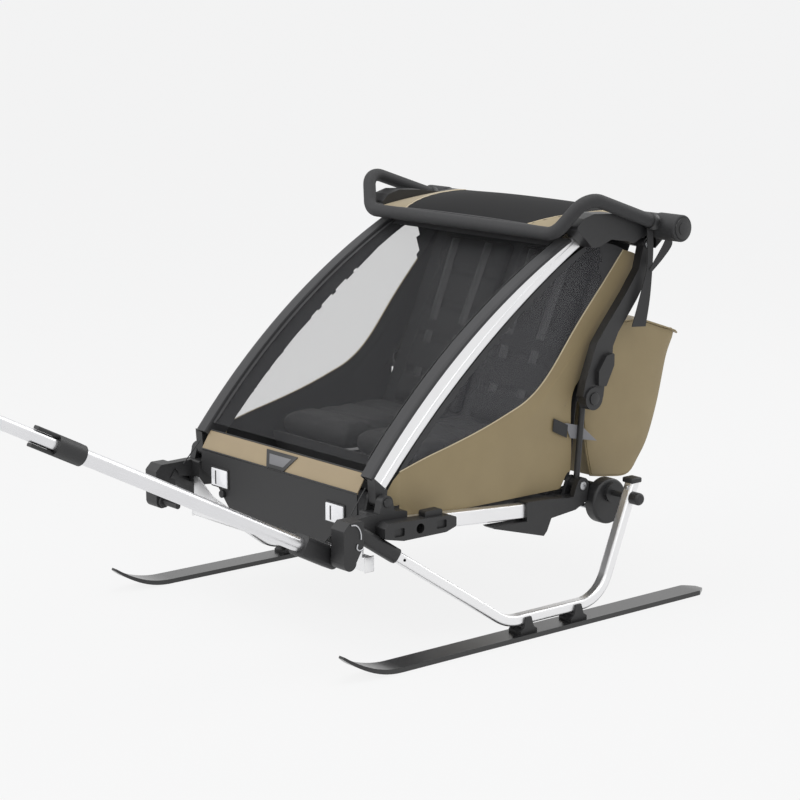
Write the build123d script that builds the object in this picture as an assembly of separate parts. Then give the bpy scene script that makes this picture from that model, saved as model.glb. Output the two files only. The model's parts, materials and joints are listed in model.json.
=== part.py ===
from build123d import *
import os
from math import asin, atan2, cos, degrees, hypot, radians, sin, tan

# Child trailer for two, set up for ski touring: a folding cabin on two ski frames, with its left tow pole fitted.
# Millimetres. Forward is -Y, the trailer's left side is +X, the soles of the skis are at Z = 0.
# Side views are drawn as (y, z), with y measured back from the front pivots of the folding frame.

# Skis
ski_half_track = 395
ski_width = 54
ski_thickness = 10
ski_end_thickness = 5
ski_sole_front = -44
ski_sole_rear = 765
ski_tip_radius = 200
ski_tip_reach = 128
ski_tail_radius = 300
ski_tail_reach = 38
ski_nose_width = 14
ski_taper = 90
ski_tail_taper = 26

# Ski frames: one bent, flat sided tube on each side
leg_width = 26
leg_depth = 22
leg_corner = 7
leg_wall = 2
run_height = 37
front_leg_foot = 243
front_leg_top = (315, -78, 262)
rear_leg_foot = 498
rear_leg_slope = 68
rear_leg_top_z = 276
leg_bend = 80
sleeve_wall = 4
sleeve_length = 106
sleeve_room = 0.6
button_radius = 3
button_from_sleeve = 14
saddle_places = (290, 428)
saddle_length = 26
saddle_wall = 5
saddle_foot_length = 44
saddle_foot_height = 6
saddle_crown = -5

# Hub axles of the ski frames
axle_y = 581
axle_z = 241
axle_radius = 6
knob_radius = 13
knob_length = 24
drum_radius = 48
drum_thickness = 26
drum_drop = 20
drum_inset = 77
drum_inner_x = ski_half_track - drum_inset
running_gap = 0.05
fit_gap = 0.3

# Base frame
rail_inner_x = 294
rail_width = 24
rail_height = 30
rail_front_y = 32
rail_rear_y = 388
rail_front_z = 253
rail_rear_z = 227
rail_wall = 2.5
pivot_z = 305
pivot_radius = 7
crossbar_low = 166
crossbar_high = 196
crossbar_depth = 22
crossbar_front_y = -34
crossbar_wall = 2.5
gusset_thickness = 4
gusset_width = 100
gusset_height = 56
gusset_hole = 4
corner_front_y = -30
corner_rear_y = 50
corner_low = 236
corner_top = 286
corner_inner_x = 272
corner_outer_x = 322
ear_radius = 14
ear_inner_end = 279.5
ear_outer_start = 303.5
ear_play = 0.5
wing_outer_x = 352
wing_front_y = -30
wing_rear_y = 150
wing_low = 233
wing_high = 272
wing_nose_low = 243
wing_socket_y = 58
wing_socket_z = 251
wing_socket_radius = 10
wing_socket_depth = 24
wing_slots = (6, 112)
wing_slot_depth = 5

# Rear corners and suspension arms
lower_joint_y = 520
lower_joint_z = 260
lower_joint_radius = 17
rear_corner_inner_x = 286
rear_corner_outer_x = 324
beam_y = 470
beam_z = 232
beam_radius = 12
beam_end_x = rear_corner_outer_x - 8
arm_inner_x = 262
arm_width = 18
arm_depth = 24
hub_boss_radius = 20

# Folding frame
pillar_foot_y = 7
pillar_foot_z = 332
pillar_top_y = 527
pillar_top_z = 768
pillar_bow = 28
pillar_inner_x = 264
pillar_width = 32
pillar_outer_x = pillar_inner_x + pillar_width
pillar_front = 32
pillar_rear = 14
pillar_swell = 9.5
pillar_slim = 17
pillar_wall = 3
pillar_groove = 5
pillar_groove_depth = 1.5
pillar_groove_place = 9
upper_joint_y = 690
upper_joint_z = 750
knee_y = 537
knee_z = 443
casting_inner_x = 286
casting_outer_x = 334
link_inner_x = 312
link_width = 20
link_eye = 15
knee_radius = 24
strut_x = 303
strut_radius = 7
strut_eye = 14

# Push bar
hub_y = 717
hub_z = 786
hub_radius = 28
hub_inner_x = 334
hub_length = 68
bar_radius = 14
bar_arm_x = 350
bar_arm_rise = 19
bar_bend_y = 495
bar_cross_y = 456
bar_cross_z = 784
bar_cross_half = 296
bar_grip_half = 230
bar_bend_radius = 42

# Tow clamps and the tow pole
pole_x = 268
clamp_pivot_y = -105
clamp_pivot_z = 206
clamp_inner_x = 300
clamp_outer_x = 340
clamp_front_y = -120
clamp_rear_y = -72
clamp_top = 285
lug_radius = 15
crossbar_half = clamp_inner_x - 8
clamp_pin = 6
pole_rise = 27.06
pole_length = 1466.5
block_front = 76
block_hold = 34
block_rear = 20
block_width = 46
block_depth = 42
pole_inner_radius = 12
pole_outer_radius = 14.5
pole_wall = 1.8
pole_overlap = 90
collar_from_pivot = 634.5
pole_collar_length = 60
prong_length = 46
prong_thickness = 7
pole_eye_radius = 5
pole_eye_length = 34

# Soft parts of the cabin
cloth = 3
seam_gap = 0.3
cabin_half = pillar_inner_x - seam_gap
rear_half = rear_corner_inner_x - seam_gap
roof_half = casting_inner_x - seam_gap
strip_top_y = -6
strip_top_z = 353
strip_low_z = 314
strip_lean = 22
side_x = 290.5
window_inset = 6
roof_front_y = 474
roof_rear_y = 704
roof_front_z = 787
roof_rear_z = 811
roof_crown = 24
seat_half = 248
floor_z = 236
floor_thickness = 6
floor_half = 284
back_foot_y = 465
back_foot_z = 345
back_top_y = 640
back_top_z = 742
back_thickness = 30
bag_half = 278
bag_wall = 4
lid_thickness = 8


def side_view(outline, x_from, x_to):
    """Solid of an outline drawn in the side view, from x_from to x_to."""
    return extrude(Plane.YZ.offset(x_from) * outline, x_to - x_from)


def polygon(*corners):
    """Face of straight edges through the corners."""
    return make_face(Polyline(*corners, close=True))


def rounded(outline, radius):
    """Outline with every corner rounded."""
    return fillet(outline.vertices(), radius)


def bar_between(start, end, depth, x_from, x_to, radius=0.0):
    """Straight flat sided bar between two points of the side view."""
    length = hypot(end[0] - start[0], end[1] - start[1])
    turn = degrees(atan2(end[1] - start[1], end[0] - start[0]))
    face = RectangleRounded(length, depth, radius) if radius else Rectangle(length, depth)
    middle = ((start[0] + end[0]) / 2, (start[1] + end[1]) / 2)
    return side_view(Pos(*middle) * Rot(0, 0, turn) * face, x_from, x_to)


def round_x(y, z, radius, x_from, x_to):
    """Cylinder that lies across the trailer."""
    return side_view(Pos(y, z) * Circle(radius), x_from, x_to)


def tube_along(path, section):
    """Solid swept along a path that starts in the side view plane."""
    start = Plane(origin=path @ 0, x_dir=(1, 0, 0), z_dir=path % 0)
    return sweep(start * section, path=path)


# The circle that the front pillars are bent to
pillar_chord = hypot(pillar_top_y - pillar_foot_y, pillar_top_z - pillar_foot_z)
pillar_angle = degrees(atan2(pillar_top_z - pillar_foot_z, pillar_top_y - pillar_foot_y))
pillar_radius = pillar_chord**2 / (8 * pillar_bow) + pillar_bow / 2
pillar_half_turn = degrees(asin(pillar_chord / 2 / pillar_radius))
pillar_centre = (
    (pillar_foot_y + pillar_top_y) / 2 + (pillar_radius - pillar_bow) * sin(radians(pillar_angle)),
    (pillar_foot_z + pillar_top_z) / 2 - (pillar_radius - pillar_bow) * cos(radians(pillar_angle)),
)


def pillar_point(share, offset=0.0):
    """Point beside the pillar's middle line: share 0 at its foot, 1 at its top, offset towards the front."""
    turn = radians(90 + pillar_angle + pillar_half_turn * (1 - 2 * share))
    reach = pillar_radius + offset
    return (pillar_centre[0] + reach * cos(turn), pillar_centre[1] + reach * sin(turn))


def pillar_curve(offset, share_from=0.0, share_to=1.0):
    """Arc beside the pillar's middle line."""
    middle = (share_from + share_to) / 2
    return ThreePointArc(*(pillar_point(share, offset) for share in (share_from, middle, share_to)))


def front_offset(share):
    """Distance from the pillar's middle line to its front: deepest in the middle, slim at the top."""
    return pillar_front + 4 * pillar_swell * share * (1 - share) - pillar_slim * share


def front_arc(inset=0.0, share_from=0.0, share_to=1.0):
    """Arc along the pillar's front, or inside it."""
    shares = (share_from, (share_from + share_to) / 2, share_to)
    return ThreePointArc(*(pillar_point(share, front_offset(share) - inset) for share in shares))


def strip_face(low, high):
    """Face between two arcs."""
    return make_face(low + Line(low @ 1, high @ 1) + high + Line(high @ 0, low @ 0))


run_middle = (ski_half_track, (front_leg_foot + rear_leg_foot) / 2, run_height)


def ski():
    """Ski with a pointed tip that turns up, and a tail that is lifted a little."""
    tip_turn = asin(ski_tip_reach / ski_tip_radius)
    tail_turn = asin(ski_tail_reach / ski_tail_radius)
    sole_tip = CenterArc((ski_sole_front, ski_tip_radius), ski_tip_radius, 270, -degrees(tip_turn))
    sole_tail = CenterArc((ski_sole_rear, ski_tail_radius), ski_tail_radius, 270, degrees(tail_turn))
    tip_edge = sole_tip @ 1 + Vector(sin(tip_turn), cos(tip_turn)) * ski_end_thickness
    tail_edge = sole_tail @ 1 + Vector(-sin(tail_turn), cos(tail_turn)) * ski_end_thickness
    deck_tip = TangentArc((ski_sole_front, ski_thickness), tip_edge, tangent=(-1, 0))
    deck_tail = TangentArc((ski_sole_rear, ski_thickness), tail_edge, tangent=(1, 0))
    side = make_face(
        Line(sole_tip @ 0, sole_tail @ 0) + sole_tail + Line(sole_tail @ 1, tail_edge) + deck_tail
        + Line(deck_tail @ 0, deck_tip @ 0) + deck_tip + Line(tip_edge, sole_tip @ 1) + sole_tip
    )
    half = ski_width / 2
    tip_y = ski_sole_front - ski_tip_reach
    tail_y = ski_sole_rear + ski_tail_reach
    right = TangentArc((half, tip_y + ski_taper), (ski_nose_width / 2, tip_y), tangent=(0, -1))
    left = TangentArc((-half, tip_y + ski_taper), (-ski_nose_width / 2, tip_y), tangent=(0, -1))
    tail = Polyline(
        left @ 0,
        (-half, tail_y - ski_tail_taper),
        (-half / 3, tail_y),
        (half / 3, tail_y),
        (half, tail_y - ski_tail_taper),
        right @ 0,
    )
    plan = make_face(right + Line(right @ 1, left @ 1) + left + tail)
    body = side_view(side, ski_half_track - half, ski_half_track + half)
    return body & extrude(Pos(ski_half_track, 0) * plan, ski_tip_radius)


def leg_front_path(extra=0.0):
    """Middle line of a ski frame from the middle of its run to the top of its front leg."""
    top = Vector(front_leg_top)
    foot = Vector(ski_half_track, front_leg_foot, run_height)
    tip = top + (top - foot).normalized() * extra
    return FilletPolyline(run_middle, foot, tip, radius=leg_bend)


def leg_rear_path():
    """Middle line of a ski frame from the middle of its run to the top of its rear leg."""
    rear_top_y = rear_leg_foot + (rear_leg_top_z - run_height) / tan(radians(rear_leg_slope))
    foot = (ski_half_track, rear_leg_foot, run_height)
    return FilletPolyline(run_middle, foot, (ski_half_track, rear_top_y, rear_leg_top_z), radius=leg_bend)


def leg_section(grown=0.0):
    """Section of the ski frame's tube, grown or shrunk on every side."""
    return RectangleRounded(leg_width + 2 * grown, leg_depth + 2 * grown, leg_corner + grown)


def ski_frame():
    """Bent tube that carries the cabin on the ski, bored for its hub axle and its locking button."""
    outside = tube_along(leg_front_path(), leg_section()) + tube_along(leg_rear_path(), leg_section())
    inside = tube_along(leg_front_path(), leg_section(-leg_wall)) + tube_along(leg_rear_path(), leg_section(-leg_wall))
    outer = ski_half_track + leg_width / 2
    axle_bore = round_x(axle_y, axle_z, axle_radius + running_gap, outer - leg_width, outer)
    top = Vector(front_leg_top)
    foot = Vector(ski_half_track, front_leg_foot, run_height)
    button = top + (foot - top).normalized() * (sleeve_length + button_from_sleeve)
    button_bore = round_x(button.Y, button.Z, button_radius, button.X, button.X + leg_width)
    return outside - inside - axle_bore - button_bore


def sleeve_part(grown, extra):
    """Sleeve shaped piece round the top of the front leg."""
    top = Vector(front_leg_top)
    foot = Vector(ski_half_track, front_leg_foot, run_height)
    cut = Plane(origin=top + (foot - top).normalized() * sleeve_length, z_dir=top - foot)
    return split(tube_along(leg_front_path(extra), leg_section(grown)), bisect_by=cut, keep=Keep.TOP)


def leg_sleeve():
    """Black sleeve, closed at its top, that holds the front leg."""
    return sleeve_part(fit_gap + sleeve_wall, fit_gap + sleeve_wall) - sleeve_part(fit_gap, fit_gap)


def sleeve_space():
    """Room that the neighbours leave for the sleeve."""
    return sleeve_part(fit_gap + sleeve_wall + sleeve_room, fit_gap + sleeve_wall + sleeve_room)


def saddle(y):
    """Clamp that holds the ski frame on the ski."""
    top = run_height + leg_depth / 2 + saddle_crown
    shoulder = saddle_length / 2
    foot = saddle_foot_length / 2
    outline = polygon(
        (y - foot, ski_thickness),
        (y + foot, ski_thickness),
        (y + foot, ski_thickness + saddle_foot_height),
        (y + shoulder, ski_thickness + 2 * saddle_foot_height),
        (y + shoulder / 2, top),
        (y - shoulder / 2, top),
        (y - shoulder, ski_thickness + 2 * saddle_foot_height),
        (y - foot, ski_thickness + saddle_foot_height),
    )
    half = leg_width / 2 + saddle_wall
    block = side_view(outline, ski_half_track - half, ski_half_track + half)
    slot = Plane.XZ * Pos(ski_half_track, run_height) * RectangleRounded(leg_width, leg_depth, leg_corner)
    return block - Pos(0, y + foot, 0) * extrude(slot, 2 * foot)


def hub():
    """Axle through the rear leg, with its release knob and the housing of the suspension and brake."""
    outer = ski_half_track + leg_width / 2
    drum_outer = drum_inner_x + drum_thickness
    rod = round_x(axle_y, axle_z, axle_radius, drum_inner_x, outer)
    knob = round_x(axle_y, axle_z, knob_radius, outer, outer + knob_length)
    knob = fillet(knob.faces().sort_by(Axis.X)[-1].edges(), knob_radius / 2)
    drum = round_x(axle_y, axle_z - drum_drop, drum_radius, drum_inner_x, drum_outer)
    drum = fillet(drum.faces().sort_by(Axis.X)[-1].edges(), 6)
    return rod + knob + drum + round_x(axle_y, axle_z, hub_boss_radius, drum_outer, drum_outer + 8)


def base_rail():
    """Rectangular side rail of the base frame."""
    front = (rail_front_y, rail_front_z)
    rear = (rail_rear_y, rail_rear_z)
    outer = rail_inner_x + rail_width
    body = bar_between(front, rear, rail_height, rail_inner_x, outer)
    hollow = bar_between(front, rear, rail_height - 2 * rail_wall, rail_inner_x + rail_wall, outer - rail_wall)
    return fillet(body.edges().filter_by(lambda e: e.length > rail_height * 2), 4) - hollow


def base_rail_space():
    """Room for the rail's end in the corners, with its fit gap."""
    front = (rail_front_y, rail_front_z)
    rear = (rail_rear_y, rail_rear_z)
    gap = fit_gap
    return bar_between(front, rear, rail_height + 2 * gap, rail_inner_x - gap, rail_inner_x + rail_width + gap)


def front_corner():
    """Black front corner: it holds the rail and carries the pillar's pivot between two ears."""
    outline = rounded(
        polygon(
            (corner_front_y, corner_low),
            (corner_rear_y, corner_low - 8),
            (corner_rear_y, corner_top - 4),
            (ear_radius + 8, corner_top),
            (corner_front_y, corner_top),
        ),
        4,
    )
    block = side_view(outline, corner_inner_x, corner_outer_x)
    ear = polygon((-ear_radius - 8, corner_top - 12), (ear_radius + 8, corner_top - 12), (ear_radius, pivot_z),
                  (-ear_radius, pivot_z))
    ear += Pos(0, pivot_z) * Circle(ear_radius)
    ears = side_view(ear, corner_inner_x, ear_inner_end) + side_view(ear, ear_outer_start, corner_outer_x)
    pin = round_x(0, pivot_z, pivot_radius, corner_inner_x, corner_outer_x)
    return block + ears + pin - base_rail_space() - sleeve_space()


def side_wing():
    """Black holder on the side of the rail, with the socket that a wheel arm would plug into."""
    outline = rounded(
        polygon(
            (wing_front_y, wing_nose_low),
            (wing_front_y + 46, wing_low),
            (wing_rear_y - 26, wing_low),
            (wing_rear_y, wing_low + 8),
            (wing_rear_y, wing_high - 12),
            (wing_rear_y - 20, wing_high - 6),
            (wing_front_y + 12, wing_high),
            (wing_front_y, wing_high - 8),
        ),
        4,
    )
    wing = side_view(outline, corner_outer_x, wing_outer_x)
    wing += side_view(Pos(100, wing_high - 2) * RectangleRounded(44, 18, 5), corner_outer_x, wing_outer_x - 10)
    pad = Pos((corner_rear_y + wing_rear_y) / 2, (wing_low + wing_high) / 2 - 4) * Rectangle(78, 22)
    wing += side_view(pad, rail_inner_x + rail_width, corner_outer_x)
    wing -= round_x(wing_socket_y, wing_socket_z, wing_socket_radius, wing_outer_x - wing_socket_depth, wing_outer_x)
    for y in wing_slots:
        slot = Pos(y, wing_socket_z) * RectangleRounded(25, 16, 3)
        wing -= side_view(slot, wing_outer_x - wing_slot_depth, wing_outer_x)
    return wing - sleeve_space()


def front_crossbar():
    """Bar between the front corners, with a drilled gusset plate at each end."""
    middle_y = crossbar_front_y + crossbar_depth / 2
    middle_z = (crossbar_low + crossbar_high) / 2
    height = crossbar_high - crossbar_low
    outside = Pos(middle_y, middle_z) * RectangleRounded(crossbar_depth, height, 5)
    inside = Pos(middle_y, middle_z) * Rectangle(crossbar_depth - 2 * crossbar_wall, height - 2 * crossbar_wall)
    bar = side_view(outside, -crossbar_half, crossbar_half) - side_view(inside, -crossbar_half, crossbar_half)
    plate = polygon(
        (corner_inner_x - gusset_width, crossbar_high - 6),
        (crossbar_half - 6, crossbar_high - 6),
        (crossbar_half - 6, crossbar_high + gusset_height),
        (corner_inner_x, crossbar_high + gusset_height),
    ) - Pos(corner_inner_x - 26, crossbar_high + gusset_height / 4) * Circle(gusset_hole)
    gusset = Pos(0, crossbar_front_y + gusset_thickness, 0) * extrude(Plane.XZ * plate, gusset_thickness)
    return bar + gusset + mirror(gusset, about=Plane.YZ)


def rear_corner():
    """Black rear corner: it holds the rail's rear end and carries the lower joint between two ears."""
    outline = rounded(
        polygon(
            (rail_rear_y - 24, 207),
            (430, 205),
            (500, 212),
            (lower_joint_y + 12, 226),
            (lower_joint_y + 12, 240),
            (480, 240),
            (430, 246),
            (rail_rear_y - 24, 249),
        ),
        3,
    )
    block = side_view(outline, rear_corner_inner_x, rear_corner_outer_x)
    wedge = polygon((270, 212), (364, 209), (435, 212), (420, 180), (411, 171), (275, 208))
    block += side_view(wedge, rail_inner_x, rear_corner_outer_x)
    ear = polygon((lower_joint_y - 30, 230), (lower_joint_y + 11, 230), (lower_joint_y + lower_joint_radius, 258),
                  (lower_joint_y - lower_joint_radius, 264))
    ear += Pos(lower_joint_y, lower_joint_z) * Circle(lower_joint_radius)
    block += side_view(ear, rear_corner_inner_x, strut_x - strut_radius - 0.5)
    block += side_view(ear, strut_x + strut_radius + 0.5, rear_corner_outer_x)
    block += round_x(lower_joint_y, lower_joint_z, pivot_radius, rear_corner_inner_x, rear_corner_outer_x)
    beam = round_x(beam_y, beam_z, beam_radius + fit_gap, rear_corner_inner_x, beam_end_x)
    return block - base_rail_space() - beam


def rear_axle():
    """Rear cross beam, with the sprung arms that carry the hubs."""
    axle = round_x(beam_y, beam_z, beam_radius, -beam_end_x, beam_end_x)
    arm = bar_between((beam_y, beam_z), (axle_y, axle_z), arm_depth, arm_inner_x, arm_inner_x + arm_width)
    arm += round_x(beam_y, beam_z, beam_radius + 4, arm_inner_x, arm_inner_x + arm_width)
    arm += round_x(axle_y, axle_z, arm_depth / 2, arm_inner_x, drum_inner_x)
    return axle + arm + mirror(arm, about=Plane.YZ)


def tow_clamp():
    """Black clamp at the front of a corner: it holds the leg's sleeve and carries the pole's pin."""
    outline = rounded(
        polygon(
            (clamp_pivot_y - lug_radius, clamp_pivot_z),
            (clamp_pivot_y + lug_radius, clamp_pivot_z),
            (clamp_rear_y, 236),
            (clamp_rear_y, clamp_top),
            (clamp_front_y + 14, clamp_top),
            (clamp_front_y, clamp_top - 14),
        ),
        4,
    )
    outline += Pos(clamp_pivot_y, clamp_pivot_z) * Circle(lug_radius)
    body = side_view(outline, clamp_inner_x, clamp_outer_x)
    bracket = polygon((clamp_rear_y - 6, 258), (corner_front_y, 250), (corner_front_y, corner_top),
                      (clamp_rear_y - 6, clamp_top))
    body += side_view(bracket, clamp_inner_x, corner_outer_x)
    pin_start = pole_x - block_width / 2 - 3
    body += round_x(clamp_pivot_y, clamp_pivot_z, clamp_pin, pin_start, clamp_inner_x)
    body += round_x(clamp_pivot_y, clamp_pivot_z, 2 * clamp_pin, pole_x + block_width / 2 + 0.5, clamp_inner_x)
    return body - sleeve_space()


# Pole parts are drawn along -Y from the tow pivot, then raised
def place_on_pole(solid):
    """Solid drawn with the pole lying along -Y from the origin, set on the pole's own line."""
    return Pos(pole_x, clamp_pivot_y, clamp_pivot_z) * Rot(-pole_rise, 0, 0) * solid


def along_pole(section, start, length):
    """Solid of a section drawn across the pole."""
    return Pos(0, -start, 0) * extrude(Plane.XZ * section, length)


def pole_block():
    """Black block on the rear end of a pole, bored for the clamp's pin."""
    half = block_depth / 2
    block = along_pole(RectangleRounded(block_width, block_depth, 9), -block_rear, block_rear + block_front)
    rear_edges = block.edges().filter_by(Axis.X).sort_by(Axis.Y)[-2:]
    block = fillet(rear_edges, half - 8)
    block -= round_x(0, 0, clamp_pin + running_gap, -block_width, block_width)
    return place_on_pole(block - along_pole(Circle(pole_outer_radius + fit_gap), block_hold, block_front))


def pole_rear_tube():
    """Rear tube of a pole, from its block to its collar."""
    ring = Circle(pole_outer_radius) - Circle(pole_outer_radius - pole_wall)
    return place_on_pole(along_pole(ring, block_hold, collar_from_pivot + pole_collar_length / 2 - block_hold - 4))


def pole_front_tube():
    """Front tube of a pole, with a flattened eye that a harness is pinned to."""
    start = collar_from_pivot + pole_collar_length / 2 - pole_overlap
    end = pole_length - pole_eye_length
    ring = Circle(pole_inner_radius) - Circle(pole_inner_radius - pole_wall)
    eye = Plane.XY * Pos(0, -(end + pole_length) / 2) * RectangleRounded(2 * pole_inner_radius, pole_eye_length, 9)
    eye = Pos(0, 0, -pole_inner_radius / 2) * extrude(eye, pole_inner_radius)
    hole = Pos(0, -pole_length + 14, -pole_inner_radius) * extrude(Circle(pole_eye_radius), 2 * pole_inner_radius)
    plug = along_pole(Circle(pole_inner_radius), end - 12, 16)
    return place_on_pole(along_pole(ring, start, end - start) + plug + eye - hole)


def pole_collar():
    """Black collar that clamps the front tube in the rear tube, with two forward prongs."""
    start = collar_from_pivot - pole_collar_length / 2
    outer = pole_outer_radius + 5
    body = along_pole(Circle(outer), start, pole_collar_length)
    for turn in (0, 180):
        prong = Pos(0, outer - prong_thickness / 2) * RectangleRounded(16, prong_thickness, 3)
        body += along_pole(Rot(0, 0, turn) * prong, start + 10, pole_collar_length - 10 + prong_length)
    body -= along_pole(Circle(pole_inner_radius + fit_gap), start, pole_collar_length + prong_length)
    return place_on_pole(body - along_pole(Circle(pole_outer_radius + fit_gap), start, pole_collar_length - 4 + fit_gap))


def pillar():
    """Curved front pillar with a wide groove along its outer side."""
    body = side_view(strip_face(pillar_curve(-pillar_rear), front_arc()), pillar_inner_x, pillar_outer_x)
    long_edges = body.edges().filter_by(lambda e: e.length > pillar_chord * 0.9)
    body = fillet(long_edges, 5)
    body -= side_view(
        strip_face(pillar_curve(pillar_wall - pillar_rear), front_arc(pillar_wall)),
        pillar_inner_x + pillar_wall,
        pillar_outer_x - pillar_wall,
    )
    groove = strip_face(
        pillar_curve(pillar_groove_place - pillar_groove), pillar_curve(pillar_groove_place + pillar_groove)
    )
    return body - side_view(groove, pillar_outer_x - pillar_groove_depth, pillar_outer_x)


def pillar_foot():
    """Black foot of a pillar: a knuckle on the corner's pin and a plug in the pillar."""
    inside = pillar_wall + fit_gap
    start = ear_inner_end + ear_play
    plug = strip_face(pillar_curve(inside - pillar_rear, -0.006, 0.09), front_arc(inside, -0.006, 0.09))
    body = side_view(plug, start, pillar_outer_x - inside)
    seat = -fit_gap / pillar_chord
    neck = polygon(pillar_point(seat, pillar_front - 2), pillar_point(seat, 2 - pillar_rear), (ear_radius - 1, pivot_z),
                   (1 - ear_radius, pivot_z))
    body += side_view(neck, start, ear_outer_start - ear_play)
    body += round_x(0, pivot_z, ear_radius - 1, start, ear_outer_start - ear_play)
    return body - round_x(0, pivot_z, pivot_radius + running_gap, start, ear_outer_start)


def top_joint():
    """Black casting on the top of a pillar, with the joints of the upright and the push bar."""
    outline = rounded(
        polygon((481, 798), (500, 816), (530, 824), (594, 820), (684, 806), (722, 812), (744, 790), (734, 760),
                (706, 738), (672, 746), (630, 760), (580, 768), (545, 755), (526, 755)),
        5,
    )
    body = side_view(outline, casting_inner_x, casting_outer_x)
    body -= side_view(
        strip_face(pillar_curve(-pillar_rear - fit_gap), front_arc(-fit_gap)), pillar_inner_x,
        pillar_outer_x + fit_gap,
    )
    cheek = link_inner_x - 0.5
    body -= round_x(upper_joint_y, upper_joint_z, link_eye + 6, cheek, casting_outer_x)
    swing = [(690, 750), (708, 698), (480, 596), (480, 684), (670, 766)]
    body -= side_view(polygon(*swing), cheek, casting_outer_x)
    body += round_x(upper_joint_y, upper_joint_z, pivot_radius, casting_inner_x, link_inner_x + link_width)
    return body + round_x(hub_y, hub_z, pivot_radius + 3, casting_outer_x - 1, hub_inner_x + hub_length - 6)


def upright_upper():
    """Black curved upper link of the folding upright, with its knee housing and release lever."""
    outer = link_inner_x + link_width
    link = rounded(
        polygon((676, 752), (663, 700), (628, 654), (574, 592), (545, 556), (516, 482), (508, 448), (566, 440),
                (570, 468), (590, 508), (592, 546), (606, 573), (658, 636), (698, 694), (705, 744)),
        4,
    )
    body = side_view(link, link_inner_x, outer)
    body += round_x(upper_joint_y, upper_joint_z, link_eye, link_inner_x, outer)
    body += round_x(knee_y, knee_z, knee_radius, link_inner_x, outer + 4)
    lever = rounded(polygon((544, 470), (566, 466), (588, 508), (588, 534), (566, 530), (544, 500)), 4)
    body += side_view(lever, outer - 1, outer + 9)
    return body - round_x(upper_joint_y, upper_joint_z, pivot_radius + running_gap, link_inner_x, outer)


def upright_lower():
    """Lower strut of the folding upright, with an eye on the rear corner's pin."""
    length = hypot(knee_y - lower_joint_y, knee_z - lower_joint_z)
    turn = degrees(atan2(knee_z - lower_joint_z, knee_y - lower_joint_y))
    rod = Pos(strut_x, lower_joint_y, lower_joint_z) * Rot(turn - 90, 0, 0) * extrude(Circle(strut_radius - 0.5), length)
    start = strut_x - strut_radius
    end = strut_x + strut_radius
    body = rod + round_x(lower_joint_y, lower_joint_z, strut_eye, start, end) + round_x(knee_y, knee_z, strut_eye, start, end)
    return body - round_x(lower_joint_y, lower_joint_z, pivot_radius + running_gap, start, end)


def push_bar():
    """Foam covered push bar with its two hubs."""
    reach = hub_y - bar_bend_y
    bend_z = hub_z + reach * tan(radians(bar_arm_rise))
    path = FilletPolyline(
        (bar_arm_x, hub_y, hub_z),
        (bar_arm_x, bar_bend_y, bend_z),
        (bar_cross_half, bar_cross_y, bar_cross_z),
        (bar_grip_half, bar_cross_y, bar_cross_z),
        radius=bar_bend_radius,
    )
    half = sweep(Plane(origin=path @ 0, z_dir=path % 0) * Circle(bar_radius), path=path)
    half += round_x(bar_cross_y, bar_cross_z, bar_radius, 0, bar_grip_half)
    barrel = round_x(hub_y, hub_z, hub_radius, hub_inner_x + 1, hub_inner_x + hub_length)
    half += fillet(barrel.edges(), 4)
    half -= round_x(hub_y, hub_z, pivot_radius + 3 + running_gap, hub_inner_x, hub_inner_x + hub_length - 5)
    return half + mirror(half, about=Plane.YZ)


def floor_panel():
    """Floor of the cabin between the rails."""
    middle = (corner_rear_y + beam_y - 20) / 2
    return Pos(0, middle, floor_z) * extrude(Rectangle(2 * floor_half, beam_y - 20 - corner_rear_y), floor_thickness)


def seat_cushion():
    """Seat of the cabin, down to the floor."""
    low = floor_z + floor_thickness + fit_gap
    outline = polygon((178, low), (462, low), (478.6, 338.6), (451.2, 350.7), (442, 366), (160, 380), (134, 356), (140, 330))
    return side_view(rounded(outline, 7), -seat_half, seat_half)


def seat_back():
    """Back rest of the cabin."""
    slab = bar_between((back_foot_y, back_foot_z), (back_top_y, back_top_z), back_thickness, -seat_half, seat_half, 12)
    return slab


def front_strip():
    """Sloping fabric strip under the front window."""
    low_y = strip_top_y - strip_lean
    outline = polygon((strip_top_y, strip_top_z), (low_y, strip_low_z), (low_y + cloth, strip_low_z),
                      (strip_top_y + cloth + 1, strip_top_z))
    return side_view(outline, -cabin_half, cabin_half)


def lower_front_panel():
    """Black panel under the strip, with a ledge and cut lower corners."""
    top = strip_low_z - fit_gap
    low = crossbar_high + 2
    sheet = polygon((-cabin_half, top), (cabin_half, top), (cabin_half, 272), (cabin_half - 48, 254), (cabin_half - 104, low),
                    (104 - cabin_half, low), (48 - cabin_half, 254), (-cabin_half, 272))
    back_y = strip_top_y + cloth - strip_lean
    panel = Pos(0, back_y, 0) * extrude(Plane.XZ * sheet, cloth)
    return panel + Pos(0, back_y + 30, 244) * Box(2 * (cabin_half - 62), 60, cloth)


def front_window():
    """Curved front window between the pillars."""
    sheet = strip_face(front_arc(window_inset + 1, 0.03, 0.98), front_arc(window_inset - 1, 0.03, 0.98))
    return side_view(sheet, -cabin_half, cabin_half)


seam = [(118, 371), (262, 407), (392, 453), (448, 501), (525, 593), (615, 688), (662, 742)]


def side_panel():
    """Fabric side of the cabin below the window's seam."""
    low = [(54, 254), (484, 252), (496, 282), (513, 284)]
    rear = [(515, 333), (511, 404), (517, 454), (541, 486), (573, 541), (608, 594), (673, 681), (700, 716), (690, 728)]
    outline = polygon((54, 352), *seam[:-1], (655, 737), *reversed(low + rear))
    return side_view(outline, side_x, side_x + cloth)


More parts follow.
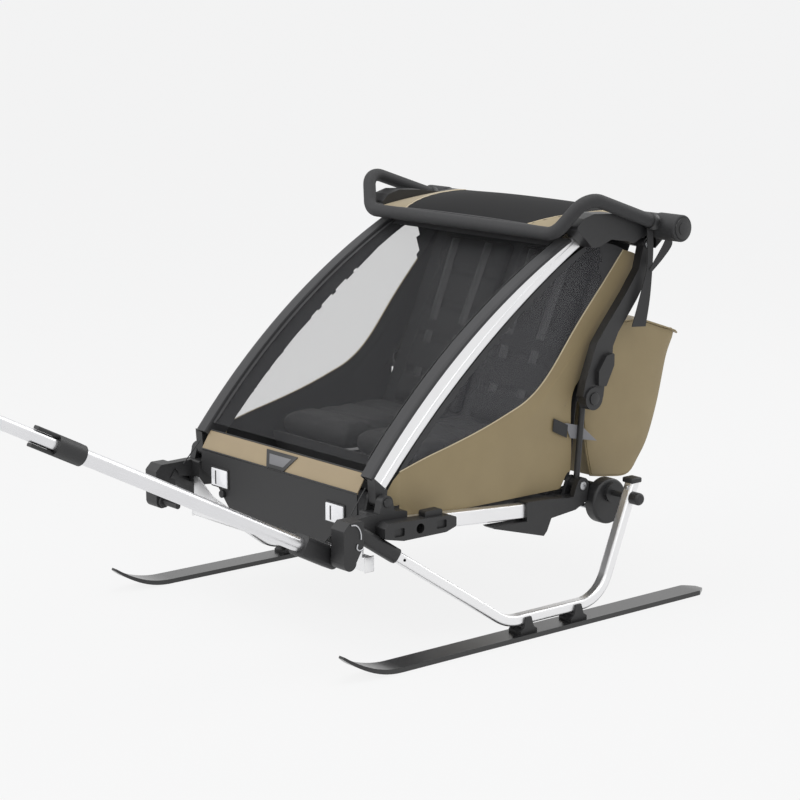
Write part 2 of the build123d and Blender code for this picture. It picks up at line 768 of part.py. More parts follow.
def side_window():
    """Dark side window between the seam and the pillar."""
    under = [pillar_point(share / 10, -pillar_rear - 2) for share in range(1, 10)]
    above = [(y, z + 0.6) for y, z in seam[:-1]]
    outline = polygon((50, 352), *above, (640, 728), (600, 752), (534, 752), *reversed(under))
    return side_view(outline, side_x, side_x + cloth - 1)


def rear_panel():
    """Fabric back of the cabin, behind the seat."""
    outline = polygon((520, 262), (537, 430), (686, 742), (683, 744), (534, 431), (517, 262))
    return side_view(outline, -rear_half, rear_half)


bag_back = [(700, 250), (755, 323), (783, 398), (809, 496), (832, 546)]


def cargo_bag():
    """Open topped fabric bag behind the cabin."""
    outline = polygon((590, 262), *bag_back, (723, 582), (610.1, 582), (570, 490), (562, 400))
    room = polygon((596, 268), (698, 256), (750, 325), (778, 399), (804, 497), (828, 560), (720, 620), (624, 620),
                   (576, 490), (568, 400))
    return side_view(outline, -bag_half, bag_half) - side_view(room, bag_wall - bag_half, bag_half - bag_wall)


def bag_lid():
    """Soft lid of the bag."""
    outline = polygon((610.2, 582.3), (723, 582.3), (832, 546.3), (838, 548), (836, 556), (726, 582.3 + lid_thickness),
                      (614.1, 582.3 + lid_thickness))
    return side_view(outline, -bag_half - 2, bag_half + 2)


def roof():
    """Shallow curved roof between the top castings."""
    under = ThreePointArc((roof_front_y, roof_front_z), (590, 799 + roof_crown - 6), (roof_rear_y, roof_rear_z))
    over = ThreePointArc((roof_front_y, roof_front_z + 5), (590, 799 + roof_crown), (roof_rear_y, roof_rear_z + 5))
    outline = make_face(under + Line(under @ 1, over @ 1) + over + Line(over @ 0, under @ 0))
    return side_view(outline, -roof_half, roof_half)


def wrist_strap():
    """Folded strap of webbing that hangs from the left hub."""
    top = hub_z - hub_radius - seam_gap
    front = polygon((668, 787), (688, 780.5), (686, 700), (671, 580), (630, 583), (650, 640), (672, 702))
    rear = polygon((712, top), (722, top), (742, 760), (740, 742), (686, 694), (676, 700))
    return side_view(front + rear, bar_arm_x - 5, bar_arm_x - 2)


single = {
    "front_crossbar": front_crossbar(),
    "rear_axle": rear_axle(),
    "floor_panel": floor_panel(),
    "seat_cushion": seat_cushion(),
    "seat_back": seat_back(),
    "front_strip": front_strip(),
    "lower_front_panel": lower_front_panel(),
    "front_window": front_window(),
    "rear_panel": rear_panel(),
    "cargo_bag": cargo_bag(),
    "bag_lid": bag_lid(),
    "roof": roof(),
    "push_bar": push_bar(),
    "wrist_strap": wrist_strap(),
    "pole_block": pole_block(),
    "pole_rear_tube": pole_rear_tube(),
    "pole_front_tube": pole_front_tube(),
    "pole_collar": pole_collar(),
}
paired = {
    "ski": ski(),
    "ski_frame": ski_frame(),
    "saddle_front": saddle(saddle_places[0]),
    "saddle_rear": saddle(saddle_places[1]),
    "leg_sleeve": leg_sleeve(),
    "hub": hub(),
    "side_rail": base_rail(),
    "front_corner": front_corner(),
    "side_wing": side_wing(),
    "rear_corner": rear_corner(),
    "tow_clamp": tow_clamp(),
    "pillar": pillar(),
    "pillar_foot": pillar_foot(),
    "top_joint": top_joint(),
    "upright_upper": upright_upper(),
    "upright_lower": upright_lower(),
    "side_panel": side_panel(),
    "side_window": side_window(),
}
pieces = dict(single)
for name, solid in paired.items():
    pieces[name + "_left"] = solid
    pieces[name + "_right"] = mirror(solid, about=Plane.YZ)

# The origin is the middle of the whole trailer's footprint
boxes = [solid.bounding_box() for solid in pieces.values()]
centre_y = (min(box.min.Y for box in boxes) + max(box.max.Y for box in boxes)) / 2
os.makedirs("parts", exist_ok=True)
for name, solid in pieces.items():
    export_step(Pos(0, -centre_y, 0) * solid, os.path.join("parts", name + ".step"))
print("centre_y", round(centre_y, 3))
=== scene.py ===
# %% [markdown]
# A child trailer on skis, dressed for the camera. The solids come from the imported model, which also says
# what moves with what. This script adds what solids are poor at: stretched cloth, padding, piping, webbing
# and finishes. Lengths below are in millimetres, measured back from the front pivots of the folding frame,
# as a workshop drawing would give them, and one function turns them into the model's metres.

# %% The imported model
import bpy
import json
import math
import numpy as np
from mathutils import Matrix, Vector


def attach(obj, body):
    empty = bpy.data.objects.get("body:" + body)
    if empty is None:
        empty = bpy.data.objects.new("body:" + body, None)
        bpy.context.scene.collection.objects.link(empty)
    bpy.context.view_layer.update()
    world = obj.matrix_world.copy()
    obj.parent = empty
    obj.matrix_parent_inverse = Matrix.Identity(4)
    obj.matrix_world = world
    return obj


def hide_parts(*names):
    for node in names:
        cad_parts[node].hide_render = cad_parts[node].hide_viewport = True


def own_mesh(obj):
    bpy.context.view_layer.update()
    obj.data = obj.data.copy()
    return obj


SIDES = ((1, "left"), (-1, "right"))

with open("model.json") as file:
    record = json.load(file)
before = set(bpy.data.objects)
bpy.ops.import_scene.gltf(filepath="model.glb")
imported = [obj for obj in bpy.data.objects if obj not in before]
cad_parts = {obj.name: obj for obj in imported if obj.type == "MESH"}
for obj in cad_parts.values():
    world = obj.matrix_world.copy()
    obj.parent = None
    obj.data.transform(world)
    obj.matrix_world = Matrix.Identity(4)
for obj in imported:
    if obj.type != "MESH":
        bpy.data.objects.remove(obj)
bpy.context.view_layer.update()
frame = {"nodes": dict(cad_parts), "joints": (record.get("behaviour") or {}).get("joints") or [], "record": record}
nodes = frame["nodes"]
joint_places = {joint["name"]: joint["pos_m"] for joint in frame["joints"]}
PIVOT_Y = joint_places["fold"][1]
bpy.ops.object.select_all(action="DESELECT")


def at(x, y, z):
    """Point in metres from millimetres: x to the left side, y back from the front pivots, z up."""
    return Vector((x / 1000, y / 1000 + PIVOT_Y, z / 1000))


def joint_at(name):
    """Place of a joint in the side view, as (y, z) in millimetres."""
    place = joint_places[name]
    return ((place[1] - PIVOT_Y) * 1000, place[2] * 1000)


print("nodes", len(nodes), "and front pivots at y", PIVOT_Y)

# %% [markdown]
# The photograph was taken with a long lens, a little above the object and from its front left corner. A
# camera with the same place and lens gives the same picture, so this comes first: everything else is judged
# through it. The standard view transform keeps the pale ground as pale as it was lit.

# %% Camera
LENS = 99.9
CAMERA_PLACE = (3531, -2613, 1333)
LOOK_DOWN = 11.294
LOOK_ROUND = 50.509
camera_data = bpy.data.cameras.new("camera")
camera_data.lens = LENS
camera_data.sensor_width = 36
camera = bpy.data.objects.new("camera", camera_data)
bpy.context.scene.collection.objects.link(camera)
camera.location = at(*CAMERA_PLACE)
camera.rotation_euler = (math.radians(90 - LOOK_DOWN), 0, math.radians(LOOK_ROUND))
bpy.context.scene.camera = camera
bpy.context.scene.view_settings.view_transform = "Standard"
print("camera with a lens of", LENS, "mm, looking", LOOK_DOWN, "degrees down")

# %% [markdown]
# Materials are trees of nodes. They could be drawn by hand in the editor; here one short function adds a
# node with its settings and its links, so a material reads as a list. Colours are given as hex values and
# turned into linear light.

# %% Shader helpers
def linear(code):
    """Linear colour from an sRGB hex value."""
    values = [int(code[i:i + 2], 16) / 255 for i in (1, 3, 5)]
    return [v / 12.92 if v <= 0.04045 else ((v + 0.055) / 1.055) ** 2.4 for v in values] + [1.0]


def add(tree, kind, settings=None, links=None):
    """One node with its settings and its links."""
    made = tree.nodes.new(kind)
    for key, value in (settings or {}).items():
        if isinstance(key, int) or key in made.inputs:
            made.inputs[key].default_value = value
        else:
            setattr(made, key, value)
    for key, source in (links or {}).items():
        tree.links.new(source, made.inputs[key])
    return made


def seen_share(tree):
    """1 for light that the camera sees, straight, through film or in a gloss, and 0 for other light."""
    path = add(tree, "ShaderNodeLightPath")
    seen = path.outputs["Is Camera Ray"]
    for kind in ("Is Transmission Ray", "Is Glossy Ray"):
        higher = add(tree, "ShaderNodeMath", {"operation": "MAXIMUM"}, {0: seen, 1: path.outputs[kind]})
        seen = higher.outputs[0]
    return seen


print("white is", linear("#ffffff"))

# %% [markdown]
# A studio photograph on a pale ground: a wide floor that is almost white to the camera, a broad soft lamp
# from the front left and above, and a pale surround that fills the shadows. The floor glows for the most
# part, so it stays even out to the horizon, and the small matt share still takes a faint shadow.

# %% Surround and floor
FLOOR_GLOW = 0.93

world = bpy.data.worlds.new("surround")
bpy.context.scene.world = world
world.use_nodes = True
tree = world.node_tree
tree.nodes.clear()
fill = add(tree, "ShaderNodeBackground", {"Color": (0.95, 0.96, 1.0, 1), "Strength": 0.62})
shown = add(tree, "ShaderNodeBackground", {"Color": linear("#f4f4f4"), "Strength": 1.0})
both = add(tree, "ShaderNodeMixShader", {}, {0: seen_share(tree), 1: fill.outputs[0], 2: shown.outputs[0]})
add(tree, "ShaderNodeOutputWorld", {}, {"Surface": both.outputs[0]})

bpy.ops.mesh.primitive_plane_add(size=600, location=(0, 0, -0.0005))
floor = bpy.context.object
floor.name = "studio_floor"
ground = bpy.data.materials.new("pale studio floor")
ground.use_nodes = True
tree = ground.node_tree
tree.nodes.clear()
share = add(tree, "ShaderNodeMath", {"operation": "MULTIPLY", 1: FLOOR_GLOW}, {0: seen_share(tree)})
matt = add(tree, "ShaderNodeBsdfDiffuse", {"Color": (0.9, 0.9, 0.9, 1)})
glow = add(tree, "ShaderNodeEmission", {"Color": linear("#f6f6f6"), "Strength": 1.0})
both = add(tree, "ShaderNodeMixShader", {}, {0: share.outputs[0], 1: matt.outputs[0], 2: glow.outputs[0]})
add(tree, "ShaderNodeOutputMaterial", {}, {"Surface": both.outputs[0]})
floor.data.materials.append(ground)
print("surround and", floor.name)

# %% [markdown]
# Four large lamps, as in a photographer's studio: the key from the front, a fill from the left side, one
# overhead and one behind. Large lamps give soft edges to every shadow.

# %% Lamps
def lamp(name, place, target, size, power):
    """Square soft lamp that looks at a point."""
    data = bpy.data.lights.new(name, "AREA")
    data.energy = power
    data.size = size
    made = bpy.data.objects.new(name, data)
    bpy.context.scene.collection.objects.link(made)
    made.location = place
    made.rotation_euler = (Vector(target) - Vector(place)).to_track_quat("-Z", "Y").to_euler()
    print("lamp", name, power, "W")


lamp("key", (-1.6, -3.4, 3.4), (0, 0.4, 0.4), 2.4, 95)
lamp("side", (3.6, -0.6, 2.4), (0, 0.5, 0.4), 2.0, 26)
lamp("top", (0.2, 0.6, 3.8), (0, 0.5, 0.4), 2.6, 50)
lamp("back", (0.5, 4.2, 2.6), (0, 0.5, 0.5), 2.0, 30)

# %% [markdown]
# Finishes start from the Principled shader, which covers metal, plastic and cloth alike. A surface is never
# quite even, so two helpers add a slight change of colour in patches and a fine relief. Both work from real
# sizes in millimetres.

# %% Helpers for finishes
def finish(name, colour, roughness, metallic=0.0, **sockets):
    """Principled material with its colour, roughness and other sockets."""
    made = bpy.data.materials.new(name)
    made.use_nodes = True
    shader = made.node_tree.nodes["Principled BSDF"]
    shader.inputs["Base Color"].default_value = linear(colour)
    shader.inputs["Roughness"].default_value = roughness
    shader.inputs["Metallic"].default_value = metallic
    for key, value in sockets.items():
        shader.inputs[key.replace("_", " ")].default_value = value
    return made, made.node_tree, shader


def mottle(tree, shader, dark, light, size_mm):
    """Slight change of colour over the surface, in patches of a size."""
    place = add(tree, "ShaderNodeTexCoord").outputs["Object"]
    noise = add(tree, "ShaderNodeTexNoise", {"Scale": 1000 / size_mm, "Detail": 3.0}, {"Vector": place})
    ends = {"data_type": "RGBA", 6: linear(dark), 7: linear(light)}
    ramp = add(tree, "ShaderNodeMix", ends, {0: noise.outputs[0]})
    tree.links.new(ramp.outputs[2], shader.inputs["Base Color"])


def grain(tree, shader, size_mm, height_mm, stretch=(1, 1, 1)):
    """Bump of fine grain: its size in millimetres, and its stretch along each axis."""
    place = add(tree, "ShaderNodeTexCoord").outputs["Object"]
    turned = add(tree, "ShaderNodeMapping", {"Scale": stretch}, {"Vector": place}).outputs[0]
    noise = add(tree, "ShaderNodeTexNoise", {"Scale": 1000 / size_mm, "Detail": 2.0}, {"Vector": turned})
    relief = {"Strength": 0.5, "Distance": height_mm / 1000}
    bump = add(tree, "ShaderNodeBump", relief, {"Height": noise.outputs[0]})
    tree.links.new(bump.outputs[0], shader.inputs["Normal"])


print("helpers for finishes are ready")

# %% [markdown]
# The frame is anodised aluminium tube, drawn and then etched, so it has a fine satin grain along its length.
# The tow pole is smoother, as bright tube is polished first. Pins and clips are zinc plated steel.

# %% Satin aluminium of the frame, bright aluminium of the tow pole, and steel
satin_aluminium, tree, shader = finish("satin anodised aluminium", "#f2f2f3", 0.36, 1.0)
grain(tree, shader, 0.9, 0.02, (1.0, 0.12, 0.12))
mottle(tree, shader, "#eeeeef", "#f5f5f6", 60)
bright_aluminium, tree, shader = finish("bright anodised aluminium", "#e4e4e6", 0.3, 1.0)
grain(tree, shader, 0.9, 0.015, (1.0, 0.1, 0.1))
mottle(tree, shader, "#dfdfe1", "#eaeaec", 80)
steel, tree, shader = finish("zinc plated steel", "#c4c5c8", 0.3, 1.0)
grain(tree, shader, 1.2, 0.01)
print("metals:", satin_aluminium.name, bright_aluminium.name, steel.name, sep="\n  ")

# %% [markdown]
# The joints are moulded nylon with a spark eroded texture, the skis are lacquered plastic, and the push bar
# is covered in closed cell foam, which is the dullest and roughest of them. Each starts from values usual for
# the material and is then matched to the photograph.

# %% Moulded nylon, lacquered skis, foam and rubber
nylon, tree, shader = finish("moulded black nylon", "#1f1f20", 0.48, 0.0, IOR=1.53)
grain(tree, shader, 1.6, 0.05)
mottle(tree, shader, "#1c1c1d", "#232324", 30)
nylon_smooth, tree, shader = finish("polished black nylon", "#1b1b1c", 0.3, 0.0, IOR=1.53)
grain(tree, shader, 2.5, 0.02)
lacquer, tree, shader = finish("lacquered ski", "#161617", 0.3, 0.0, Coat_Weight=0.35, Coat_Roughness=0.18)
mottle(tree, shader, "#141415", "#19191a", 120)
foam, tree, shader = finish("closed cell foam", "#2b2b2c", 0.72, 0.0, IOR=1.5)
grain(tree, shader, 1.4, 0.12)
mottle(tree, shader, "#282829", "#2f2f30", 8)
panel_black, tree, shader = finish("coated black sheet", "#202021", 0.5, 0.0, IOR=1.5)
grain(tree, shader, 2.2, 0.05)
patch_grey, tree, shader = finish("blank rubber patch", "#6e6e70", 0.55, 0.0, IOR=1.5)
grain(tree, shader, 2.0, 0.03)
reflector, tree, shader = finish("moulded white reflector", "#e9e9ea", 0.16, 0.0, Coat_Weight=0.6)
grain(tree, shader, 3.0, 0.15)
print("plastics:", nylon.name, nylon_smooth.name, lacquer.name, foam.name, sep="\n  ")

# %% [markdown]
# Cloth. The cabin is a coated polyester with a fine plain weave: about 0.6 mm from thread to thread, too fine
# for this picture, so it is drawn at 1.8 mm and only as relief and a slight change of tone. The weave follows
# each piece's own UV map, which is in metres, so the threads turn with the cloth.

# %% Woven finishes
WEAVE_TONE = 0.08


def woven(name, dark, light, thread_mm, roughness, sheen=0.25, relief_mm=0.02, **sockets):
    """Plain weave of two sets of threads on the UV map, with soft patches of tone."""
    sheens = {"Sheen_Weight": sheen, "Sheen_Roughness": 0.5}
    made, tree, shader = finish(name, light, roughness, 0.0, **sheens, **sockets)
    where = add(tree, "ShaderNodeTexCoord")
    parts = add(tree, "ShaderNodeSeparateXYZ", {}, {0: where.outputs["UV"]})
    waves = []
    for way in (0, 1):
        pace = {"operation": "MULTIPLY", 1: 2000 * math.pi / thread_mm}
        turn = add(tree, "ShaderNodeMath", pace, {0: parts.outputs[way]})
        waves.append(add(tree, "ShaderNodeMath", {"operation": "SINE"}, {0: turn.outputs[0]}).outputs[0])
    cross = add(tree, "ShaderNodeMath", {"operation": "MULTIPLY"}, {0: waves[0], 1: waves[1]})
    raised = {"operation": "MULTIPLY_ADD", 1: 0.5, 2: 0.5}
    height = add(tree, "ShaderNodeMath", raised, {0: cross.outputs[0]}).outputs[0]
    patches = {"Scale": 14.0, "Detail": 4.0}
    noise = add(tree, "ShaderNodeTexNoise", patches, {"Vector": where.outputs["Object"]}).outputs[0]
    tone = add(tree, "ShaderNodeMath", {"operation": "MULTIPLY_ADD", 1: WEAVE_TONE}, {0: height, 2: noise})
    ends = {"data_type": "RGBA", 6: linear(dark), 7: linear(light)}
    mixed = add(tree, "ShaderNodeMix", ends, {0: tone.outputs[0]})
    tree.links.new(mixed.outputs[2], shader.inputs["Base Color"])
    relief = {"Strength": 0.35, "Distance": relief_mm / 1000}
    bump = add(tree, "ShaderNodeBump", relief, {"Height": height})
    tree.links.new(bump.outputs[0], shader.inputs["Normal"])
    return made


tan_cloth = woven("tan coated polyester", "#827250", "#90805c", 1.8, 0.62)
# The front strip has the sides' tan cloth, painted a little lighter: painted light for the front, which faces the
# lamps.
strip_cloth_painted_light = woven("tan padded strip", "#8b7a5d", "#968566", 1.8, 0.6)
roof_cloth = woven("black roof cloth", "#131314", "#171718", 1.8, 0.85, 0.0, Specular_IOR_Level=0.25)
dark_cloth = woven("black coated polyester", "#232324", "#2e2e30", 1.8, 0.66, 0.15)
lining = woven("black lining", "#19191a", "#222223", 1.8, 0.8, 0.1)
webbing = woven("black webbing", "#161617", "#232324", 1.4, 0.6, 0.1, 0.04)
# The seats' black cloth is painted darker than the cabin's other black cloth: painted shade for the inside of the
# cabin, under the roof.
seat_cloth_painted_shade = woven("dark seat cloth", "#161616", "#1b1b1b", 2.4, 0.85, 0.0)
grey_strap = woven("grey strap end", "#6d6d6f", "#7c7c7f", 1.4, 0.6)
tan_piping = woven("tan piping", "#b5a585", "#c9bb9c", 1.2, 0.5)
print("cloths:", tan_cloth.name, dark_cloth.name, webbing.name, seat_cloth_painted_shade.name, sep="\n  ")

# %% [markdown]
# The windows are a thin film that lets most of the light through. A pane of glass would bend and mirror the
# picture behind it, which a film this thin doesn't, so the film is a grey sheet that is mostly transparent.

# %% Window films
window_mesh, tree, shader = finish("see through window", "#58585a", 0.5, 0.0, Alpha=0.1, IOR=1.45)
grain(tree, shader, 60, 0.2)
side_film, tree, shader = finish("tinted side window", "#77777a", 0.5, 0.0, Alpha=0.13, IOR=1.45)
grain(tree, shader, 60, 0.2)
print("films:", window_mesh.name, side_film.name, sep="\n  ")

# %% [markdown]
# The metal and moulded pieces are already the right shape, so they keep their solids and only get finishes.

# %% Finishes on the frame
FRAME_FINISHES = {
    "satin_aluminium": satin_aluminium, "bright_aluminium": bright_aluminium, "black_plastic": nylon,
    "black_panel": panel_black, "ski_black": lacquer, "black_foam": foam,
}
slots = {part["node"]: part["material_slot"] for part in frame["record"]["subparts"]}
for name, node in nodes.items():
    node.data.materials.clear()
    node.data.materials.append(FRAME_FINISHES.get(slots[name], dark_cloth))
print("nodes with finishes", len(nodes))

# %% [markdown]
# Stretched cloth is the same job again and again: a flat grid whose corners are carried to a frame, with a
# little belly in the middle, then given its thickness. A primitive grid is added, each of its vertices is set
# in place, and a Solidify modifier is applied. The UV map is scaled to the cloth's own size.

# %% Cloth helpers
CLOTH = 0.0018


def only(piece):
    """Makes one piece the selected and active one."""
    bpy.ops.object.select_all(action="DESELECT")
    piece.select_set(True)
    bpy.context.view_layer.objects.active = piece


def apply(piece, kind, **settings):
    """Adds a modifier, sets it and applies it."""
    only(piece)
    made = piece.modifiers.new(kind.title(), kind)
    for key, value in settings.items():
        setattr(made, key, value)
    bpy.ops.object.modifier_apply(modifier=made.name)


def smooth(piece, angle=40):
    """Smooth shading below an angle."""
    only(piece)
    bpy.ops.object.shade_smooth_by_angle(angle=math.radians(angle))


def belongs(piece, slot, body):
    """Attaches a piece to the body that carries it; slot, its finish in the model, is not used."""
    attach(piece, body)


def settle(piece):
    """Carries a soft piece on the cabin with the chassis, on a mesh of its own."""
    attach(piece, "chassis")
    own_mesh(piece)


def cloth_grid(name, across, along, place, width, length):
    """Grid carried to its place; its UV map is width by length in metres."""
    bpy.ops.object.select_all(action="DESELECT")
    bpy.ops.mesh.primitive_grid_add(x_subdivisions=across, y_subdivisions=along, size=2)
    piece = bpy.context.object
    piece.name = name
    for vertex in piece.data.vertices:
        vertex.co = place((vertex.co.x + 1) / 2, (vertex.co.y + 1) / 2)
    for corner in piece.data.uv_layers[0].data:
        corner.uv = (corner.uv[0] * width, corner.uv[1] * length)
    return piece


def stretched(piece, thickness=CLOTH):
    area = sum(face.area for face in piece.data.polygons)
    apply(piece, "SOLIDIFY", thickness=thickness, offset=0)
    smooth(piece)
    print(piece.name, "cloth", round(area, 3), "m2")


print("cloth is", CLOTH * 1000, "mm thick")

# %% [markdown]
# Edges of cloth are smooth curves through a few points. A curve object could hold them, but a function of
# the share of the length is easier to fill a sheet from: four such edges give every point between them.

# %% Edge lines
def line_through(points, rounded=True):
    """Function that gives the point at a share of the length of a line through the points."""
    dots = np.array(points, float)
    if rounded and len(dots) > 2:
        padded = np.vstack([2 * dots[0] - dots[1], dots, 2 * dots[-1] - dots[-2]])
        dense = []
        for i in range(len(dots) - 1):
            a, b, c, d = padded[i:i + 4]
            for t in np.linspace(0, 1, 12, endpoint=False):
                square = (2 * a - 5 * b + 4 * c - d) * t * t
                cube = (3 * b - a - 3 * c + d) * t ** 3
                dense.append(0.5 * (2 * b + (c - a) * t + square + cube))
        dots = np.array(dense + [dots[-1]])
    run = np.concatenate([[0], np.cumsum(np.linalg.norm(np.diff(dots, axis=0), axis=1))])
    return lambda share: np.array([np.interp(share * run[-1], run, column) for column in dots.T])


def patch(low, high, front, back):
    """Function that fills the space between four edge lines, from (across, up)."""
    def inside(u, v):
        corners = (1 - u) * (1 - v) * low(0) + u * (1 - v) * low(1) + (1 - u) * v * high(0) + u * v * high(1)
        return (1 - v) * low(u) + v * high(u) + (1 - u) * front(v) + u * back(v) - corners
    return inside


print("middle of a straight edge", line_through([(0, 0), (100, 0)])(0.5))

# %% [markdown]
# Piping, cords and bent wire are round, so a bevelled curve makes them. Webbing is flat, so it is a row of
# faces with a width across the line, given a thickness and a small bevel that catches the light.

# %% Tubes and straps
def tube(name, points, radius, material, closed=False):
    """Round tube or cord of trim through points in metres, as a mesh."""
    bpy.ops.object.select_all(action="DESELECT")
    data = bpy.data.curves.new(name, "CURVE")
    data.dimensions = "3D"
    data.bevel_depth = radius
    data.bevel_resolution = 2
    data.use_fill_caps = True
    spline = data.splines.new("POLY")
    spline.points.add(len(points) - 1)
    for point, place in zip(spline.points, points):
        point.co = (*place, 1)
    spline.use_cyclic_u = closed
    made = bpy.data.objects.new(name, data)
    bpy.context.scene.collection.objects.link(made)
    only(made)
    bpy.ops.object.convert(target="MESH")
    made = bpy.context.object
    made.data.materials.append(material)
    smooth(made, 60)
    return made


def ribbon(name, points, width, thickness, across, material):
    """Flat strap through points in metres, with one direction across it."""
    half = Vector(across).normalized() * width
    dots = [Vector(p) + half * k / 2 for p in points for k in (-1, 0, 1)]
    rows = range(len(points) - 1)
    faces = [(3 * i + k, 3 * i + k + 1, 3 * i + k + 4, 3 * i + k + 3) for i in rows for k in (0, 1)]
    mesh = bpy.data.meshes.new(name)
    mesh.from_pydata(dots, [], faces)
    made = bpy.data.objects.new(name, mesh)
    bpy.context.scene.collection.objects.link(made)
    layer = mesh.uv_layers.new()
    run = [0.0]
    for a, b in zip(points, points[1:]):
        run.append(run[-1] + (Vector(b) - Vector(a)).length)
    for loop in mesh.loops:
        row, k = divmod(loop.vertex_index, 3)
        layer.data[loop.index].uv = (k * width / 2, run[row])
    apply(made, "SOLIDIFY", thickness=thickness, offset=0)
    apply(made, "BEVEL", width=thickness * 0.3, segments=1)
    made.data.materials.append(material)
    smooth(made, 50)
    return made


print("tubes and straps are ready")

# %% [markdown]
# Small moulded trim comes in three forms: flat plates with any outline, short round caps about a line, and
# blocks with rounded edges. Primitives with a Bevel modifier do all three, as real moulded edges are never
# quite sharp.

# %% Plates, caps and blocks
def set_at(origin, across, up):
    """Matrix that lays a plate's x along across and its y along up, at a point in metres."""
    a = Vector(across).normalized()
    n = a.cross(Vector(up)).normalized()
    b = n.cross(a)
    return Matrix.Translation(origin) @ Matrix((a, b, n)).transposed().to_4x4()


def plate(name, outline, thickness, place, material, bevel=0.0008):
    """Flat plate from an outline in millimetres, carried to its place by a matrix."""
    mesh = bpy.data.meshes.new(name)
    mesh.from_pydata([(x / 1000, y / 1000, 0) for x, y in outline], [], [tuple(range(len(outline)))])
    made = bpy.data.objects.new(name, mesh)
    bpy.context.scene.collection.objects.link(made)
    apply(made, "SOLIDIFY", thickness=thickness / 1000, offset=1)
    apply(made, "BEVEL", width=bevel, segments=2, limit_method="ANGLE")
    made.data.transform(place)
    made.data.materials.append(material)
    smooth(made, 35)
    return made


def ring_on(name, centre, direction, radius, length, material):
    """Short round sleeve or cap about a line, in metres."""
    bpy.ops.object.select_all(action="DESELECT")
    bpy.ops.mesh.primitive_cylinder_add(vertices=48, radius=radius, depth=length)
    made = bpy.context.object
    made.name = name
    apply(made, "BEVEL", width=0.0012, segments=2, limit_method="ANGLE")
    turn = Vector((0, 0, 1)).rotation_difference(Vector(direction).normalized()).to_matrix().to_4x4()
    made.data.transform(Matrix.Translation(centre) @ turn)
    made.data.materials.append(material)
    smooth(made, 35)
    return made


def rounded_box(name, low, high, bevel_mm, material):
    """Block between two corners in millimetres with rounded edges, from a primitive cube."""
    bpy.ops.object.select_all(action="DESELECT")
    bpy.ops.mesh.primitive_cube_add(size=1)
    made = bpy.context.object
    made.name = name
    a, b = at(*low), at(*high)
    for vertex in made.data.vertices:
        vertex.co = Vector([(a[k] + b[k]) / 2 + vertex.co[k] * abs(b[k] - a[k]) for k in range(3)])
    apply(made, "BEVEL", width=bevel_mm / 1000, segments=3, limit_method="NONE")
    made.data.materials.append(material)
    smooth(made)
    return made


print("plates, caps and blocks are ready")

# %% [markdown]
# Lines of the cabin. The front pillars are bent to one circle, and the seam between the tan side and its
# window is a long curve from the front pivot to the top joint. Every cloth piece borrows these lines, so
# they meet.

# %% Lines of the cabin
FOOT = (7.0, 332.0)
TOP = (527.0, 768.0)
BOW = 28.0
PILLAR_FRONT = 32
PILLAR_SWELL = 9.5
PILLAR_SLIM = 17
SIDE_X = 292
chord = math.dist(FOOT, TOP)
slope = math.atan2(TOP[1] - FOOT[1], TOP[0] - FOOT[0])
bend = chord ** 2 / (8 * BOW) + BOW / 2
half_turn = math.asin(chord / 2 / bend)
middle_y = (FOOT[0] + TOP[0]) / 2 + (bend - BOW) * math.sin(slope)
middle_z = (FOOT[1] + TOP[1]) / 2 - (bend - BOW) * math.cos(slope)


def pillar_line(share, out=0.0):
    """Point beside the middle of a front pillar, out millimetres towards the front."""
    turn = math.pi / 2 + slope + half_turn * (1 - 2 * share)
    return (middle_y + (bend + out) * math.cos(turn), middle_z + (bend + out) * math.sin(turn))


def front_offset(share):
    """How far a front pillar's face lies from the pillar's middle line."""
    return PILLAR_FRONT + 4 * PILLAR_SWELL * share * (1 - share) - PILLAR_SLIM * share


SEAM = [(54, 353), (118, 371), (190, 388), (262, 407), (330, 429), (392, 454), (448, 499), (525, 592),
        (600, 675), (655, 737)]
seam_line = line_through(SEAM)
print("bend of the front pillars", round(bend), "mm")

# %% [markdown]
# The tan side of the cabin is stretched between the base rail, the seam and the rear edge. It is black
# inside. The grid is filled between its four edges, which keeps the rows of threads parallel to them, and it
# bellies out a few millimetres where nothing holds it.

# %% Tan sides
BELLY = 3.0
low_edge = line_through([(54, 254), (200, 253), (484, 253), (503, 284), (513, 286)], False)
rear_edge = line_through([(513, 286), (515, 333), (512, 404), (517, 452), (541, 486), (573, 541), (608, 594),
                          (673, 681), (698, 714), (688, 727), (655, 737)])
front_edge = line_through([(54, 254), (54, 353)])
side_fill = patch(low_edge, seam_line, front_edge, rear_edge)


def side_place(side):
    """Function that carries a side's grid to its place."""
    def place(u, v):
        y, z = side_fill(u, v)
        belly = BELLY * math.sin(math.pi * min(1, u * 1.1)) * math.sin(math.pi * v)
        return at(side * (SIDE_X + belly), y, z)
    return place


for side, word in SIDES:
    piece = cloth_grid("side_cloth_" + word, 56, 48, side_place(side), 0.62, 0.36)
    piece.data.materials.append(tan_cloth)
    stretched(piece)
    piece.data.materials.append(lining)
    for face in piece.data.polygons:
        if face.normal.x * side < -0.5:
            face.material_index = 1
    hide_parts("side_panel_" + word)
    settle(piece)

# %% [markdown]
# Above the seam the side is a dark see-through window that runs up under the pillar. A band of opaque cloth
# borders it, and a thin piping is sewn into the seam. Which faces are opaque is decided face by face, from
# how near each one lies to the pillar.

# %% Side windows and their piping
UNDER_PILLAR = -17
OPAQUE_BAND = 15
OPAQUE_FROM_Y = 590
under_edge = [pillar_line(share / 20, UNDER_PILLAR) for share in range(3, 19)]
under_line = line_through([(54, 356)] + under_edge + [(560, 757), (618, 752), (655, 739)])
window_front = line_through([(54, 353), (54, 356)])
window_rear = line_through([(655, 737), (655, 739)])
window_fill = patch(seam_line, under_line, window_front, window_rear)
band_points = [pillar_line(share / 40, UNDER_PILLAR) for share in range(41)]


def window_place(side):
    """Function that carries a side window's grid to its place."""
    def place(u, v):
        y, z = window_fill(u, v)
        return at(side * (SIDE_X - 2.0 * math.sin(math.pi * u) * math.sin(math.pi * v)), y, z)
    return place


